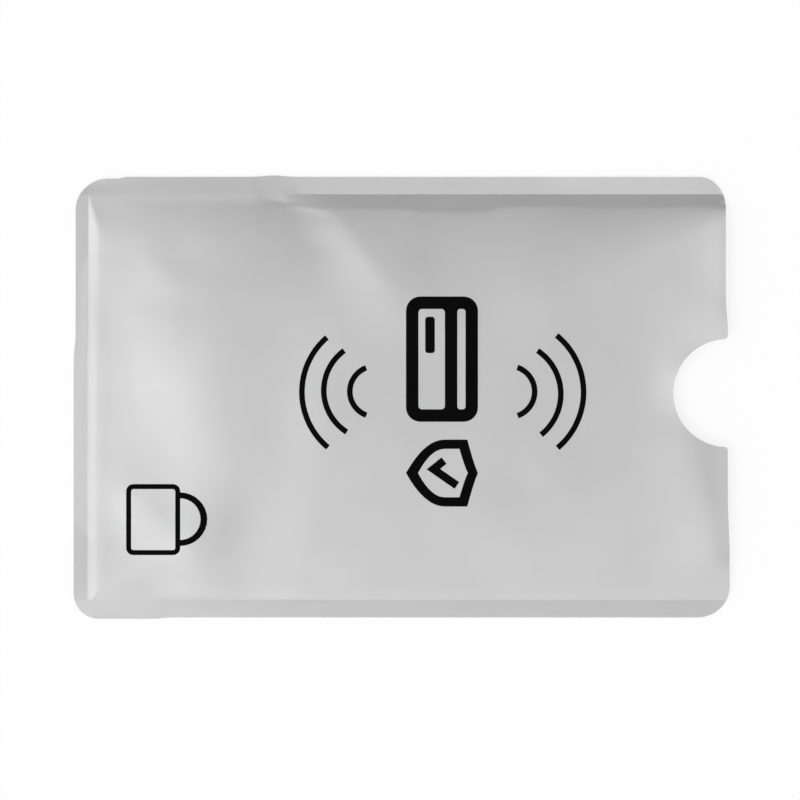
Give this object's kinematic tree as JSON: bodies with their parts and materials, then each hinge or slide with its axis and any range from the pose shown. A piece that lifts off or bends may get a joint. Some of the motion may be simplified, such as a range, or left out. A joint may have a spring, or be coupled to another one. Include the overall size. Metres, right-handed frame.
{
  "type": "rfid card sleeve",
  "caption": "Flat shielding sleeve for a bank or identity card: laminated film walls, welded along the closed end and both long edges, open mouth with a thumb notch.",
  "frame": {"origin": "middle of the rectangle that the sleeve lies in, on the outside of its back", "axes": "+X along the sleeve towards its open mouth, +Y across it towards the upper weld, +Z out of the printed front"},
  "size_m": [0.092, 0.062, 0.0016],
  "materials": {
    "matte_silver_film": "satin",
    "shield_foil": "satin",
    "sealing_film": "gloss",
    "weld": "satin",
    "black_ink": "matte"
  },
  "bodies": {
    "root": {"front_outer_film": "matte_silver_film", "front_shield_foil": "shield_foil", "front_sealing_film": "sealing_film", "back_sealing_film": "sealing_film", "back_shield_foil": "shield_foil", "back_outer_film": "matte_silver_film", "end_seal": "weld", "upper_side_seal": "weld", "lower_side_seal": "weld"}
  },
  "joints": []
}
